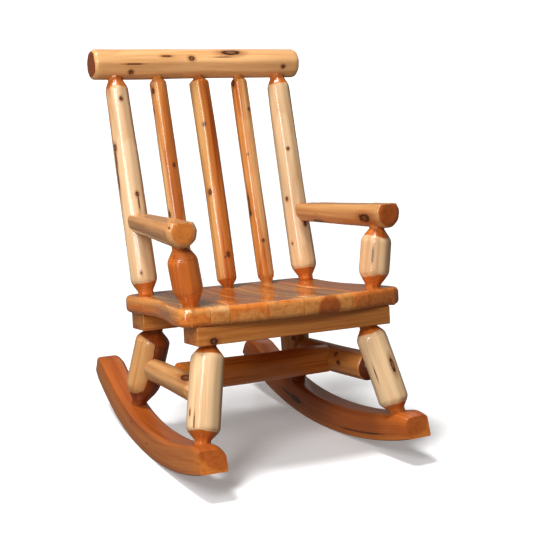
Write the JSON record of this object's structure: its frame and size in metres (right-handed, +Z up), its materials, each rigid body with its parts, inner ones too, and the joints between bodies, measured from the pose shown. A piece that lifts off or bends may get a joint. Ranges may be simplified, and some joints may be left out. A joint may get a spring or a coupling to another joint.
{
  "type": "log rocking chair",
  "caption": "Rustic rocking chair of peeled logs: slatted raked back under a log rail, D-section arms, shaped plank seat, splayed legs on two bent rockers.",
  "frame": {"origin": "on the floor, under the middle of the chair's outline box; the rockers touch the floor along a line 4 mm in front of it", "axes": "+Z up, -Y out of the front of the seat, +X to the right as seen from the front"},
  "size_m": [0.6842, 0.9224, 1.0994],
  "materials": {
    "cream_log": "gloss varnish",
    "tan_log": "gloss varnish",
    "honey_log": "gloss varnish",
    "heart_log": "gloss varnish",
    "dark_log": "gloss varnish",
    "honey_board": "gloss varnish",
    "rocker_wood": "gloss varnish",
    "screw_steel": "zinc plated"
  },
  "bodies": {
    "root": {"top_rail": "tan_log", "back_post_left": "cream_log", "back_post_right": "cream_log", "spindle_left": "heart_log", "spindle_centre": "honey_log", "spindle_right": "honey_log", "arm_left": "tan_log", "arm_right": "tan_log", "arm_post_left": "heart_log", "arm_post_right": "cream_log", "front_cleat": "honey_board", "rear_cleat": "honey_board", "leg_front_left": "cream_log", "leg_front_right": "cream_log", "leg_rear_left": "honey_log", "leg_rear_right": "tan_log", "side_stretcher_left": "tan_log", "side_stretcher_right": "tan_log", "cross_stretcher": "dark_log", "rocker_left": "rocker_wood", "rocker_right": "rocker_wood", "cleat_screws": "screw_steel", "arm_screws": "screw_steel", "rocker_screws": "screw_steel", "seat_board_1": "honey_board", "seat_board_2": "honey_board", "seat_board_3": "honey_board", "seat_board_4": "honey_board", "seat_board_5": "honey_board", "seat_board_6": "honey_board"}
  },
  "joints": []
}
